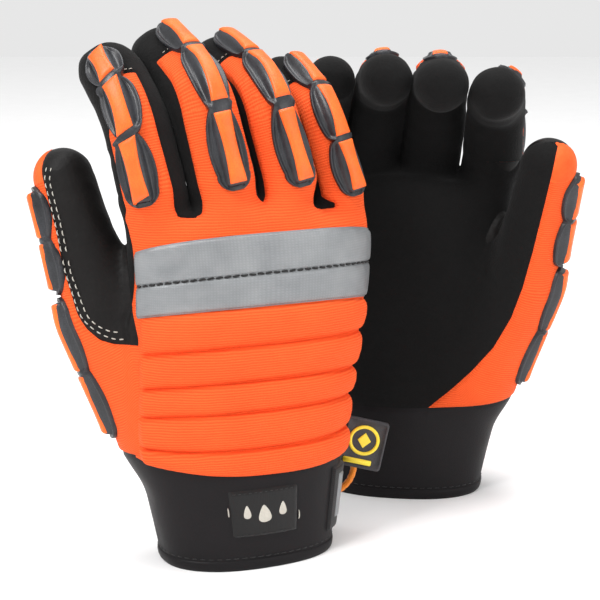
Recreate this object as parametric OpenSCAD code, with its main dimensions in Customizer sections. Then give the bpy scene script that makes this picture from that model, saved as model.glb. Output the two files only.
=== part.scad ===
// Two padded impact work gloves, standing upright on their cuffs.
// Z is up, the floor is Z = 0, and the back of the front glove faces -Y.
// Each glove is built in its own frame: fingers +Z, back of the hand -Y, thumb -X.

/* [Placement] */
// Turn of the front glove about the vertical
front_turn = 24; // [15:1:30]
// Turn of the rear glove about the vertical
rear_turn = 170; // [166:1:180]
// Sideways place of the front glove
front_x = -27; // [-40:1:-27]
// Place of the front glove, front to back
front_y = -43; // [-50:1:-43]
// Sideways place of the rear glove
rear_x = 43; // [43:1:60]
// Place of the rear glove, front to back
rear_y = 51; // [51:1:60]

/* [Glove] */
// Height of the cuff
cuff_h = 45; // [42:1:47]
// Wall thickness of the cuff
cuff_wall = 3; // [2:0.1:3.5]
// Wall thickness of the hand panels
panel_wall = 2.2; // [1.5:0.1:2.4]
// Wall thickness of the finger shells
finger_wall = 1.8; // [1.2:0.1:2]
// Thickness of the knit on the fingers
knit = 0.8; // [0.5:0.1:1]
// How far a padded rib stands proud of the hand
rib_proud = 4; // [2:0.5:5]
// How far a moulded guard stands proud of the knit
guard_proud = 3.2; // [2:0.2:4]
// Half of the angle that a guard segment spans at its widest
guard_half = 30; // [24:1:34]

/* [Side tag and cord] */
// Width of the side tag
tag_w = 20; // [16:1:24]
// Height of the side tag
tag_h = 23; // [18:1:26]
// Thickness of the side tag
tag_t = 1.6; // [1:0.1:2.5]
// Tilt of the side tag
tag_tilt = 12; // [0:1:20]
// Thickness of the cord
cord_d = 3; // [2:0.2:3.6]

/* [Hidden] */
DIGITS = ["index", "middle", "ring", "little"];
SIDES = ["front", "rear"];
HAND_PARTS = [
    "cuff", "palm_panel", "back_panel", "lining", "rib_pads", "reflective_strips",
    "thumb_base", "side_guard", "thumb_shell", "thumb_back", "thumb_patch", "thumb_guard"
];
FINGER_PARTS = ["shell", "back", "guard", "pads"];

ORANGE = "#ff6228";
AMBER = "#fa7a1e";
BLACK = "#1b1919";
RUBBER = "#3e3e42";
GREY = "#9a9c9c";

// Hand cross-sections: height, centre X, half width, half depth
HAND = [
    [0, -2, 38, 26.5], [24, -3, 42.5, 27], [45, -4, 46.5, 27], [66, -4, 47.5, 27],
    [88, -2, 50, 26.5], [110, 0, 52, 25.5], [130, 1, 53, 24], [156, 0, 54, 21]
];
SQUARENESS = 2.3;
// Height of the hand's top edge across the knuckles
HAND_TOP = [[-60, 149], [-44, 150.5], [-15, 156], [14, 155], [38, 148.5], [60, 148]];

// A digit: base X, Y, Z at its hinge, sideways lean, [length, tilt] of each bone,
// radius at the base and at the tip, side the guard faces
INDEX = [-43.5, -1, 162, -9, [[28, 13], [20, 42], [8, 54]], 14, 12, 234];
MIDDLE = [-14.4, -5, 166, -11, [[31, 11], [27, 60], [10, 71]], 14, 12, 272];
RING = [14.6, -4, 165, -14, [[29, 12], [27, 63], [10, 75]], 13.8, 11.8, 278];
LITTLE = [41, 1, 158.5, -13, [[26, 12], [21, 50], [8, 63]], 11.7, 10.8, 287];
THUMB = [-62, 21, 122, -9, [[24, 12], [21, 20]], 15, 12.4, 170];
BALL = [-38, 6, 60, -22, [[50, 14]], 20, 16, 172];
FINGERS = [INDEX, MIDDLE, RING, LITTLE];
// The rear glove's fingers and thumb are curled further and lie closer together
REAR_CURL = [30, 24, 14, 5];
REAR_LEAN = [-4, -8.5, -12.5, -12];
REAR_THUMB_CURL = 6;

// Ribs: lower and upper edge of each padded bar
RIBS = [[45.5, 55], [55.3, 69.3], [69.6, 82.4], [82.7, 98], [98.3, 109.5]];
STRIPS = [[109.8, 125.6], [126, 143]];
PAD_GAP = 0.3;

// Cord: route points from the cuff seam, out and down, and back into the cuff,
// measured from the middle of the front glove's cuff
CORD = [
    [37.5, 22, 40], [39, 22.2, 39.8], [40.8, 22.6, 39.1], [42.6, 23, 37.9], [44.5, 23, 36],
    [45.8, 23, 33.5], [46.3, 23, 31], [46.2, 23, 28.5], [45.5, 23, 26], [44.3, 23, 23.5], [42.5, 23, 21.3],
    [40.3, 22.5, 19.5], [38, 22, 18], [35.6, 22, 17.2], [33.6, 21.8, 16.8]
];
// The sewn edge of the side tag at its middle height, measured in the same way
TAG_SEAM = [40, 16.5, 45];

// ---- Geometry helpers ----

function soft_power(v) = sign(v) * pow(abs(v), 2 / SQUARENESS);

function column(rows, k) = [for (r = rows) [r[0], r[k]]];

// A point on the hand at height z and angle t (0 = +X, 90 = palm, 180 = thumb, 270 = back)
function hand_at(z, t, grow) = [
    lookup(z, column(HAND, 1)) + (lookup(z, column(HAND, 2)) + grow) * soft_power(cos(t)),
    (lookup(z, column(HAND, 3)) + grow) * soft_power(sin(t)),
    z
];

// The same with the top edge following the knuckles: u runs from 0 at z_low to 1 at the top
function panel_at(z_low, u, t, grow) =
    let (p = hand_at(z_low, t, 0), top = lookup(p[0] * 1.15, HAND_TOP))
    hand_at(z_low + u * (top - z_low), t, grow);

function bone_ends(bones) = [
    for (i = 0, s = 0; i < len(bones); s = s + bones[i][0], i = i + 1) s + bones[i][0]
];
function reach(d) = bone_ends(d[4])[len(d[4]) - 1];

// The same digit with another lean and its bones tilted further, the first by half as much
function curled(d, lean, extra) = [
    for (i = [0:len(d) - 1])
        i == 3 ? lean : i != 4 ? d[i] : [for (k = [0:len(d[4]) - 1])
            [d[4][k][0], d[4][k][1] + (k == 0 ? extra / 2 : extra)]]
];
function finger_of(side, i) =
    side == "rear" ? curled(FINGERS[i], REAR_LEAN[i], REAR_CURL[i]) : FINGERS[i];
function thumb_of(side) = side == "rear" ? curled(THUMB, THUMB[3], REAR_THUMB_CURL) : THUMB;

BEND = 10;
function tilt_table(d) = let (ends = bone_ends(d[4]), last = len(ends) - 1) [
    for (i = [0:last]) each [
        [i == 0 ? 0 : min(ends[i - 1] + BEND, ends[i] - 1), d[4][i][1]],
        [i == last ? ends[i] : ends[i] - BEND / 2, d[4][i][1]]
    ]
];
function tilt(d, s) = lookup(max(0, s), tilt_table(d));

// The middle line of a digit in the YZ plane, summed in short steps
STEP = 1;
function spine_yz(d, s) = let (n = floor(max(0, s) / STEP), rest = s - n * STEP) [
    for (i = 0, y = 0, z = 0; i <= n;
         y = y + STEP * sin(tilt(d, (i + 0.5) * STEP)),
         z = z + STEP * cos(tilt(d, (i + 0.5) * STEP)), i = i + 1)
        if (i == n) [y + rest * sin(tilt(d, s)), z + rest * cos(tilt(d, s))]
][0];

// A point on a digit at distance s along it and angle t around it. The base and the tip
// are rounded, so s before 0 or past the reach runs over a ball of the end's radius.
function digit_at(d, s, t, grow) =
    let (
        end = reach(d), base = d[5], tip = d[6],
        past = s < 0 ? s : max(0, s - end),
        ball = s < 0 ? base : tip,
        round = asin(max(-1, min(1, past / ball))),
        side = s < 0 || s > end ? ball : base + (tip - base) * s / end,
        r = (side + grow) * cos(round),
        w = past == 0 ? s : s - past + (ball + grow) * sin(round),
        yz = spine_yz(d, w), a = tilt(d, w)
    )
    [
        d[0] + d[3] * w / end + r * cos(t),
        d[1] + yz[0] + r * sin(t) * cos(a),
        d[2] + yz[1] - r * sin(t) * sin(a)
    ];

function ring_of(d, s, grow, n) = [for (j = [0:n - 1]) digit_at(d, s, j * 360 / n, grow)];

// Rings that wrap round: capped at both ends, or closed on themselves
module skin(rings, closed = false) {
    m = len(rings);
    n = len(rings[0]);
    sides = [
        for (i = [0:closed ? m - 1 : m - 2], j = [0:n - 1])
            let (k = (i + 1) % m, l = (j + 1) % n)
            each [[i * n + j, k * n + l, i * n + l], [i * n + j, k * n + j, k * n + l]]
    ];
    caps = closed ? [] : [
        [for (j = [0:n - 1]) j],
        [for (j = [n - 1:-1:0]) (m - 1) * n + j]
    ];
    polyhedron([for (r = rings) each r], concat(sides, caps), convexity = 8);
}

// A patch of cloth or rubber between an outer and an inner grid of points
module patch(outer, inner) {
    m = len(outer);
    n = len(outer[0]);
    k = m * n;
    faces = [
        for (i = [0:m - 2], j = [0:n - 2])
            let (a = i * n + j, b = a + 1, d = a + n, c = d + 1)
            each [[a, c, b], [a, d, c], [k + a, k + b, k + c], [k + a, k + c, k + d]]
    ];
    rims = [
        for (j = [0:n - 2])
            let (b = j + 1, d = (m - 1) * n + j, c = d + 1)
            each [[j, b, k + b], [j, k + b, k + j], [c, d, k + d], [c, k + d, k + c]]
    ];
    ends = [
        for (i = [0:m - 2])
            let (a = i * n, d = a + n, b = a + n - 1, c = b + n)
            each [[d, a, k + a], [d, k + a, k + d], [b, c, k + c], [b, k + c, k + b]]
    ];
    polyhedron(
        concat([for (r = outer) each r], [for (r = inner) each r]),
        concat(faces, rims, ends),
        convexity = 8
    );
}

function steps(low, high, n) = [for (i = [0:n]) low + (high - low) * i / n];

// ---- Hand ----

module hand_sleeve(z_low, z_high, out, wall, levels, around) {
    heights = steps(z_low, z_high, levels);
    turns = [for (j = [0:around - 1]) j * 360 / around];
    skin(concat(
        [for (z = heights) [for (t = turns) hand_at(z, t, out)]],
        [for (i = [levels:-1:0]) [for (t = turns) hand_at(heights[i], t, out - wall)]]
    ), closed = true);
}

module cuff() {
    color(BLACK) hand_sleeve(0, cuff_h, 0, cuff_wall, 4, 28);
}

module lining() {
    color(GREY) hand_sleeve(0.5, 64, -cuff_wall - 0.4, 1, 4, 28);
}

// The thumb hole is a notch in the palm panel's edge
HOLE = [[0, 178], [0.12, 178], [0.2, 140], [0.62, 140], [0.74, 178], [1, 178]];

module palm_panel() {
    rows = steps(0, 1, 11);
    color(BLACK) patch(
        [for (u = rows) [for (f = steps(0, 1, 12))
            panel_at(cuff_h + 0.2, u, 2 + f * (lookup(u, HOLE) - 2), 0)]],
        [for (u = rows) [for (f = steps(0, 1, 12))
            panel_at(cuff_h + 0.2, u, 2 + f * (lookup(u, HOLE) - 2), -panel_wall)]]
    );
}

module back_panel() {
    rows = steps(0, 1, 9);
    turns = steps(182, 358, 13);
    color(ORANGE) patch(
        [for (u = rows) [for (t = turns) panel_at(cuff_h + 0.2, u, t, 0)]],
        [for (u = rows) [for (t = turns) panel_at(cuff_h + 0.2, u, t, -panel_wall)]]
    );
}

// A bar across the back of the hand, crowned between its two edges
module back_bar(low, high, from, to, proud, levels) {
    rows = steps(0, 1, levels);
    turns = steps(from, to, 12);
    patch(
        [for (u = rows) [for (t = turns)
            hand_at(low + u * (high - low), t, PAD_GAP + 0.6 + (proud - 0.6) * sin(180 * u))]],
        [for (u = rows) [for (t = turns) hand_at(low + u * (high - low), t, PAD_GAP)]]
    );
}

module rib_pads() {
    color(ORANGE) for (r = RIBS) back_bar(r[0], r[1], 195, 340, rib_proud, 4);
}

module reflective_strips() {
    color(GREY) for (s = STRIPS) back_bar(s[0], s[1], 192, 348, 2.2, 3);
}

module cuff_label() {
    rows = steps(15, 36, 3);
    turns = steps(252, 288, 5);
    color(BLACK) patch(
        [for (z = rows) [for (t = turns) hand_at(z, t, 1.3)]],
        [for (z = rows) [for (t = turns) hand_at(z, t, 0.2)]]
    );
}

module pull_loop() {
    rows = steps(10, 38, 4);
    turns = steps(321, 339, 3);
    color(GREY) patch(
        [for (z = rows) [for (t = turns) hand_at(z, t, 2.2)]],
        [for (z = rows) [for (t = turns) hand_at(z, t, 0.2)]]
    );
}

// ---- Digits ----

// A closed sleeve for one digit: open at the hinge end, rounded at the tip
module digit_shell(d, wall, around, rings) {
    end = reach(d);
    tip = d[6];
    outer = concat([-6], steps(0, end, rings), [for (a = [30, 55, 78]) end + tip * sin(a)]);
    inner_tip = [for (a = [78, 55, 30]) end + tip * sin(a)];
    inner = concat(inner_tip, [for (i = [rings:-1:0]) end * i / rings], [-6]);
    skin(concat(
        [for (s = inner) ring_of(d, s, -wall, around)],
        [for (s = outer) ring_of(d, s, 0, around)]
    ));
}

// A patch that follows a digit between two distances and two angles
module digit_patch(d, from, to, middle, half, low, high, rows, columns) {
    patch(
        [for (s = steps(from, to, rows)) [for (t = steps(middle - half, middle + half, columns))
            digit_at(d, s, t, high)]],
        [for (s = steps(from, to, rows)) [for (t = steps(middle - half, middle + half, columns))
            digit_at(d, s, t, low)]]
    );
}

LAYER_GAP = 0.05;
GUARD_LOW = 0.5;
PAD_LIFT = 0.5;
PAD_THICK = 1.2;
NECK = 0.55;
function swell(u, segments) = pow(abs(sin(180 * u * segments)), 0.6);

// A moulded guard: leaf-shaped segments joined by narrow necks
module guard(d, from, to, segments, low) {
    rows = steps(0, 1, segments * 4);
    outer = [
        for (u = rows)
            let (k = swell(u, segments), half = guard_half * (NECK + (1 - NECK) * k))
            [for (f = [-1, -0.5, 0, 0.5, 1])
                digit_at(d, from + u * (to - from), d[7] + f * half,
                    low + 0.8 + (guard_proud - 0.8) * (0.4 + 0.6 * k) * (1 - f * f))]
    ];
    inner = [
        for (u = rows)
            let (half = guard_half * (NECK + (1 - NECK) * swell(u, segments)))
            [for (f = [-1, -0.5, 0, 0.5, 1])
                digit_at(d, from + u * (to - from), d[7] + f * half, low)]
    ];
    color(RUBBER) patch(outer, inner);
}

// One raised pad on the middle of each guard segment
module guard_pads(d, from, to, segments, low) {
    length = (to - from) / segments;
    color(AMBER) for (i = [0:segments - 1]) digit_patch(
        d, from + length * (i + 0.14), from + length * (i + 0.86), d[7], 12,
        low + guard_proud + PAD_LIFT, low + guard_proud + PAD_LIFT + PAD_THICK, 4, 2
    );
}

// The knit uses the same rings and sides as the shell under it, so the two lie flat together
AROUND = 14;
FINGER_RINGS = 8;
THUMB_RINGS = 5;
SIDE = 360 / AROUND;

module finger_shell(d) {
    color(BLACK) digit_shell(d, finger_wall, AROUND, FINGER_RINGS);
}

module finger_back(d) {
    rows = FINGER_RINGS - 1;
    end = reach(d) * rows / FINGER_RINGS;
    color(ORANGE) digit_patch(d, 0, end, 270, 2.5 * SIDE, LAYER_GAP, knit, rows, 5);
}

function guard_end(d) = reach(d) + d[6] * 0.35;

module finger_guard(d) {
    guard(d, -5, guard_end(d), 3, knit + GUARD_LOW);
}

module finger_pads(d) {
    guard_pads(d, -5, guard_end(d), 3, knit + GUARD_LOW);
}

// ---- Thumb ----

// Solid space of the hand, used to trim the ball of the thumb
module hand_space() {
    turns = [for (j = [0:27]) j * 360 / 28];
    skin([for (z = steps(40, 150, 6)) [for (t = turns) hand_at(z, t, 0.5)]]);
}

module thumb_base() {
    end = reach(BALL);
    spots = steps(0, end, 4);
    color(ORANGE) difference() {
        skin(concat(
            [for (s = spots) ring_of(BALL, s, 0, 18)],
            [for (i = [4:-1:0]) ring_of(BALL, spots[i], -panel_wall, 18)]
        ), closed = true);
        hand_space();
    }
}

module thumb_shell(d) {
    color(BLACK) digit_shell(d, finger_wall, AROUND, THUMB_RINGS);
}

module thumb_back(d) {
    color(ORANGE) digit_patch(
        d, 0, reach(d), 6.5 * SIDE, 1.5 * SIDE, LAYER_GAP, knit, THUMB_RINGS, 3
    );
}

module thumb_patch(d) {
    color(BLACK) digit_patch(
        d, 0, reach(d), 10.5 * SIDE, 2.5 * SIDE, LAYER_GAP, knit, THUMB_RINGS, 5
    );
}

// The guard and its two pads on the moving part of the thumb
module thumb_guard(d) {
    guard(d, 0, reach(d) + 4, 2, knit + GUARD_LOW);
    guard_pads(d, 0, reach(d) + 4, 2, knit + GUARD_LOW);
}

// The lower guard and its two pads, on the ball of the thumb
module side_guard() {
    guard(BALL, 4, reach(BALL) - 3, 2, GUARD_LOW);
    guard_pads(BALL, 4, reach(BALL) - 3, 2, GUARD_LOW);
}

// ---- Side tag and cord ----

module side_tag() {
    color(RUBBER) translate(TAG_SEAM) rotate([0, tag_tilt, 0]) difference() {
        translate([0.5, -tag_t / 2, -tag_h / 2]) cube([tag_w, tag_t, tag_h]);
        translate([tag_w / 2 + 1, -tag_t / 2 + 0.4, 0]) rotate([90, 0, 0]) difference() {
            cylinder(d = 14, h = tag_t, $fn = 32);
            translate([0, 0, -1]) cylinder(d = 10, h = tag_t + 2, $fn = 32);
        }
    }
}

function unit(v) = v / norm(v);
function along(i) = unit(CORD[min(i + 1, len(CORD) - 1)] - CORD[max(i - 1, 0)]);

module tag_cord() {
    color(AMBER) skin([
        for (i = [0:len(CORD) - 1])
            let (w = along(i), side = unit(cross(w, [0, 1, 0])), up = cross(w, side))
            [for (j = [0:7]) CORD[i] + cord_d / 2 * (cos(j * 45) * side + sin(j * 45) * up)]
    ]);
}

// ---- Assembly ----

module place(side) {
    if (side == "front") translate([front_x, front_y, 0]) rotate([0, 0, front_turn]) children();
    else translate([rear_x, rear_y, 0]) rotate([0, 0, rear_turn]) children();
}

for (s = SIDES) place(s) {
    cuff();
    palm_panel();
    back_panel();
    lining();
    rib_pads();
    reflective_strips();
    thumb_base();
    side_guard();
    thumb_shell(thumb_of(s));
    thumb_back(thumb_of(s));
    thumb_patch(thumb_of(s));
    thumb_guard(thumb_of(s));
    for (i = [0:3]) {
        digit = str(s, "_", DIGITS[i]);
        finger = finger_of(s, i);
        finger_shell(finger);
        finger_back(finger);
        finger_guard(finger);
        finger_pads(finger);
    }
}
place("front") cuff_label();  // front_cuff_label
place("front") pull_loop();  // front_pull_loop
translate([front_x, front_y, 0]) side_tag();
translate([front_x, front_y, 0]) tag_cord();
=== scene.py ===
"""Looks for a pair of impact-resistant work gloves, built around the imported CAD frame.

Both gloves are the same right-hand model, so every shape is worked out in a glove's own
frame (millimetres, +X to the little finger, +Y to the palm, Z up from the cuff rim) and then
placed; the rear glove's fingers are curled a little further.
"""

import math

import bpy
import numpy as np
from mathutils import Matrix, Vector


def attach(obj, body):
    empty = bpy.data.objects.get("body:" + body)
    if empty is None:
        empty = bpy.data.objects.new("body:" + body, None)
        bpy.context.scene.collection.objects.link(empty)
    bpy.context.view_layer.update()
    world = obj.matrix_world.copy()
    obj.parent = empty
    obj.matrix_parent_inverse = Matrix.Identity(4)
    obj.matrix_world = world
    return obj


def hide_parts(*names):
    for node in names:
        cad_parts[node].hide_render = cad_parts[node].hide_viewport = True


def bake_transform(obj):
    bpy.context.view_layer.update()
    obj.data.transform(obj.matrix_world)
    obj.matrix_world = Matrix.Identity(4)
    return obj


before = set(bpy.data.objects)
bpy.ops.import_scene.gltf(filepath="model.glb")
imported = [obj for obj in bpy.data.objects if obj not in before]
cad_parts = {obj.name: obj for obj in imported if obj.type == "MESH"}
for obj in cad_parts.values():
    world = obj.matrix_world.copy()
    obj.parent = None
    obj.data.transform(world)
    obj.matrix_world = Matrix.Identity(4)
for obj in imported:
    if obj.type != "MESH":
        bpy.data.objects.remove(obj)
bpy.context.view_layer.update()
scene = bpy.context.scene
MM = 0.001

# ---- The gloves' shape, as in the CAD ----

PLACES = {"front": (24, (-27, -43)), "rear": (170, (43, 51))}  # turn, origin
HAND = np.array([  # height, centre X, half width, half depth
    [0, -2, 38, 26.5], [24, -3, 42.5, 27], [45, -4, 46.5, 27], [66, -4, 47.5, 27],
    [88, -2, 50, 26.5], [110, 0, 52, 25.5], [130, 1, 53, 24], [156, 0, 54, 21],
])
SQUARENESS = 2.3
HAND_TOP = np.array([  # X, height of the hand's top edge
    [-60, 149], [-44, 150.5], [-15, 156], [14, 155], [38, 148.5], [60, 148],
])
BEND = 10  # length over which a digit turns after each joint
DIGITS = {  # base, sideways lean, [length, tilt] of bones, base and tip radius
    "index": ((-43.5, -1, 162), -9, [(28, 13), (20, 42), (8, 54)], 14, 12),
    "middle": ((-14.4, -5, 166), -11, [(31, 11), (27, 60), (10, 71)], 14, 12),
    "ring": ((14.6, -4, 165), -14, [(29, 12), (27, 63), (10, 75)], 13.8, 11.8),
    "little": ((41, 1, 158.5), -13, [(26, 12), (21, 50), (8, 63)], 11.7, 10.8),
}
# the ball of the thumb and the thumb, in the same way
BALL = ((-38, 6, 60), -22, [(50, 14)], 20, 16)
THUMB = ((-62, 21, 122), -9, [(24, 12), (21, 20)], 15, 12.4)
REAR = {  # the rear glove's digits: sideways lean, extra tilt
    "index": (-4, 30), "middle": (-8.5, 24), "ring": (-12.5, 14), "little": (-12, 5),
    "thumb": (-9, 6),
}
GUARD_TIP = {"front": (0.25, 0.0), "rear": (-0.2, 0.5)}  # how far past the reach, pressed
FLANKS = {  # how far a finger's flank bulges, by share of its reach
    "near": [(0, 0.5), (1, 0.25)], "plain": [(0, 0.5), (1, 1.1)],
    "far": [(0, 1.2), (0.25, 1.4), (0.5, 2.3), (0.75, 2.6), (1, 2.2)],
}
# turn of each finger's guard, and of the two edges of its knit
GUARD_TURN = {"index": 234, "middle": 272, "ring": 278, "little": 287}
GUARD_JOINTS = {"index": (0.42, 0.77), "middle": (0.41, 0.72), "ring": (0.41, 0.71),
                "little": (0.35, 0.67)}  # shares of the reach where two leaves meet
KNIT_TURN = {"index": (190, 290), "middle": (205, 332), "ring": (208, 332), "little": (212, 345)}
CUT = {"index": 162.0, "middle": 166.0, "ring": 166.0, "little": 158.0}  # where fingers begin
THUMB_CUT = 133.0
BEND_ZONE = 20.0  # fabric that bends above a cut
GRID = 1.25  # spacing of the skins' points
FINGER_MELT, THUMB_MELT, TOP_MELT = 12.0, 13.0, 8.0  # how softly shapes run together
HAND_ROUND, THUMB_ROUND, FINGER_ROUND = 40, 14, 12  # usual radii, to turn degrees into lengths
FAR_AWAY = 60.0  # any distance too large to matter
LEAD_IN = 40  # how far before its first point a digit's line still counts
BRIDGE_POINTS = 12  # between the ball of the hand and the thumb
LOCATE_CHUNK, FIELD_CHUNK = 20000, 200000  # points worked on at a time

# straight in front of the gloves, looking slightly down
CAMERA_TARGET = (-5, -43, 112)
CAMERA_DISTANCE, CAMERA_ELEVATION, CAMERA_LENS = 750, 12, 104.6


def rows(table, at, column):
    """A table's column, read at values of its first column."""
    return np.interp(at, table[:, 0], table[:, column])


def softened(table, low, high, spread):
    """The same table with its corners rounded off, at every millimetre."""
    at = np.arange(low, high, 1.0)
    reach = np.arange(-3 * spread, 3 * spread + 1)
    weight = np.exp(-0.5 * (reach / spread) ** 2)
    weight /= weight.sum()
    made = [sum(w * rows(table, at + r, k) for r, w in zip(reach, weight))
            for k in range(1, table.shape[1])]
    return np.column_stack([at, *made])


HAND_SMOOTH = softened(HAND, -20.0, 200.0, 6)
TOP_SMOOTH = softened(HAND_TOP, -90.0, 90.0, 6)


def interp(x, points):
    return np.interp(x, [p[0] for p in points], [p[1] for p in points])


def arc(turn, radius):
    """The length of a turn in degrees at a radius."""
    return turn * np.pi / 180 * radius


def ramp(d, width):
    """A smooth step from 0 to 1 as d goes from 0 to width."""
    t = np.clip(d / width, 0, 1)
    return t * t * (3 - 2 * t)


def unit(v):
    """Vectors scaled to length 1."""
    return v / np.linalg.norm(v, axis=-1, keepdims=True)


def lengths(path):
    """The distance along a path at each of its points."""
    return np.r_[0, np.cumsum(np.linalg.norm(np.diff(path, axis=0), axis=1))]


def sample(values, s, at):
    """Rows of values known at distances s, read at other distances."""
    return np.stack([np.interp(at, s, column) for column in values.T], -1)


def around(turn, side, up):
    """Unit vectors at a turn in radians between two axes."""
    return np.cos(turn)[..., None] * side + np.sin(turn)[..., None] * up


def soft_power(v):
    return np.sign(v) * np.abs(v) ** (2 / SQUARENESS)


def hand_at(z, turn, grow=0.0):
    """Points on the hand at height z and turn in degrees: 0 = +X, 90 = palm, 270 = back."""
    z, turn = np.broadcast_arrays(np.asarray(z, float), np.radians(turn))
    return np.stack([
        rows(HAND_SMOOTH, z, 1) + (rows(HAND_SMOOTH, z, 2) + grow) * soft_power(np.cos(turn)),
        (rows(HAND_SMOOTH, z, 3) + grow) * soft_power(np.sin(turn)),
        z,
    ], -1)


def hand_turn(p):
    """The turn of points on or near the hand, in degrees from 0 to 360."""
    x = (p[:, 0] - rows(HAND_SMOOTH, p[:, 2], 1)) / rows(HAND_SMOOTH, p[:, 2], 2)
    y = p[:, 1] / rows(HAND_SMOOTH, p[:, 2], 3)
    power = SQUARENESS / 2
    return np.degrees(np.arctan2(np.sign(y) * np.abs(y) ** power,
                                 np.sign(x) * np.abs(x) ** power)) % 360


def hand_distance(p):
    """Roughly how far points are outside the hand, negative inside."""
    z = p[:, 2]
    a, b = rows(HAND_SMOOTH, z, 2), rows(HAND_SMOOTH, z, 3)
    x = np.abs(p[:, 0] - rows(HAND_SMOOTH, z, 1)) / a + 1e-6
    y = np.abs(p[:, 1]) / b + 1e-6
    n = SQUARENESS
    q = (x ** n + y ** n) ** (1 / n)
    slope = q ** (1 - n) * np.hypot(x ** (n - 1) / a, y ** (n - 1) / b)
    side = (q - 1) / slope
    top = z - rows(TOP_SMOOTH, p[:, 0] * 1.15, 1)
    return -melt(-side, -top, TOP_MELT)


def melt(a, b, width):
    """The smaller of two distances, rounded where they are within width of each other."""
    h = np.clip(width - np.abs(a - b), 0, None) / width
    return np.minimum(a, b) - h * h * width / 4


class Line:
    """The middle line of a digit with its radius, sampled every millimetre."""

    def __init__(self, points, radius):
        points = np.array(points, float)
        length = lengths(points)
        self.s = np.arange(0, length[-1], 1.0)
        centre = sample(points, length, self.s)
        self.radius = np.interp(self.s, length, radius)
        along = unit(np.gradient(centre, axis=0))
        palm = unit(np.cross(along, [1.0, 0, 0]))
        self.data = np.column_stack([centre, along, np.cross(palm, along), palm])
        self.reach = self.s[-1]

    def frame(self, s):
        """Centre, direction, side axis and palm axis at s, straight on past both ends."""
        inside = np.clip(s, 0, self.reach)
        c = sample(self.data, self.s, inside)
        centre = c[..., :3] + (s - inside)[..., None] * c[..., 3:6]
        return centre, c[..., 3:6], c[..., 6:9], c[..., 9:]

    def locate(self, p):
        """For each point: distance along the line, turn around it, distance from its skin."""
        best = np.empty(len(p), int)
        for i in range(0, len(p), LOCATE_CHUNK):
            gap = p[i:i + LOCATE_CHUNK, None] - self.data[None, ::3, :3]
            best[i:i + LOCATE_CHUNK] = (gap ** 2).sum(2).argmin(1) * 3
        s = self.s[best]
        for _ in range(3):
            centre, along, side, palm = self.frame(s)
            s = np.clip(s + ((p - centre) * along).sum(1), -LEAD_IN, self.reach)
        centre, along, side, palm = self.frame(s)
        away = p - self.frame(np.clip(s, 0, self.reach))[0]
        turn = np.degrees(np.arctan2((away * palm).sum(1), (away * side).sum(1))) % 360
        radius = np.interp(s, self.s, self.radius)
        return s, turn, np.linalg.norm(away, axis=1) - radius

    def near(self, p, margin=16.0):
        """Which points are in the box around the digit."""
        low = self.data[:, :3].min(0) - self.radius.max() - margin
        high = self.data[:, :3].max(0) + self.radius.max() + margin
        return ((p > low) & (p < high)).all(1)

    def distance(self, p):
        """The distance from the digit's skin, where it is near enough to matter."""
        out = np.full(len(p), FAR_AWAY)
        close = self.near(p)
        out[close] = self.locate(p[close])[2]
        return out

    def at(self, s, turn, out=0.0):
        """Points on the digit at s and turn, rounded over a ball past its end."""
        s, turn = np.broadcast_arrays(np.asarray(s, float), np.radians(turn))
        centre, along, side, palm = self.frame(np.minimum(s, self.reach))
        r = np.interp(s, self.s, self.radius) + out
        over = np.clip(s - self.reach, 0, None) / r
        return centre + r[..., None] * around(over, around(turn, side, palm), along)


def bones(spec):
    """The middle line of a digit: each bone keeps its tilt and bends into the next."""
    base, lean, parts, start, tip = spec
    ends = np.cumsum([length for length, _ in parts])
    s = np.arange(0, ends[-1] + 0.5, 1.0)
    table = []
    for i, (length, tilt) in enumerate(parts):
        table.append((0 if i == 0 else min(ends[i - 1] + BEND, ends[i] - 1), tilt))
        table.append((ends[i] if i == len(parts) - 1 else ends[i] - BEND / 2, tilt))
    tilt = np.radians(np.interp(s[:-1] + 0.5, *zip(*table)))
    y = np.r_[0, np.cumsum(np.sin(tilt))]
    z = np.r_[0, np.cumsum(np.cos(tilt))]
    points = np.column_stack([base[0] + lean * s / ends[-1], base[1] + y, base[2] + z])
    return points, np.linspace(start, tip, len(s))


def smooth_path(points, values, spread=5):
    """The same points and values with their kinks averaged out."""
    for _ in range(spread * 2):
        points[1:-1] = (points[:-2] + 2 * points[1:-1] + points[2:]) / 4
        values[1:-1] = (values[:-2] + 2 * values[1:-1] + values[2:]) / 4
    return points, values


def curled(spec, lean, extra):
    """The same digit with another lean and its bones tilted further, the first by half."""
    base, _, parts, start, tip = spec
    parts = [(length, tilt + extra / (2 if i == 0 else 1))
             for i, (length, tilt) in enumerate(parts)]
    return base, lean, parts, start, tip


def lines_of(side):
    """The middle lines of one glove's digits; the thumb's starts in the ball of the hand."""
    specs = {**DIGITS, "thumb": THUMB}
    if side == "rear":
        specs = {name: curled(spec, *REAR[name]) for name, spec in specs.items()}
    lines = {name: Line(*bones(specs[name])) for name in DIGITS}
    ball_points, ball_radii = bones(BALL)
    thumb_points, thumb_radii = bones(specs["thumb"])
    bridge = np.linspace(ball_points[-1], thumb_points[0], BRIDGE_POINTS + 2)[1:-1]
    bridge_radii = np.linspace(ball_radii[-1], thumb_radii[0], BRIDGE_POINTS)
    lines["thumb"] = Line(*smooth_path(np.vstack([ball_points, bridge, thumb_points]),
                                       np.r_[ball_radii, bridge_radii, thumb_radii]))
    for name, line in lines.items():
        line.flanks = [FLANKS["near"], FLANKS["near"]] if side == "rear" else [
            FLANKS["far"] if name == "index" else FLANKS["plain"],
            FLANKS["far"] if name == "middle" else FLANKS["plain"]]
    return lines


LINES = lines_of("front")  # refilled for each glove by shape_glove
FINGERS = list(DIGITS)


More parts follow.
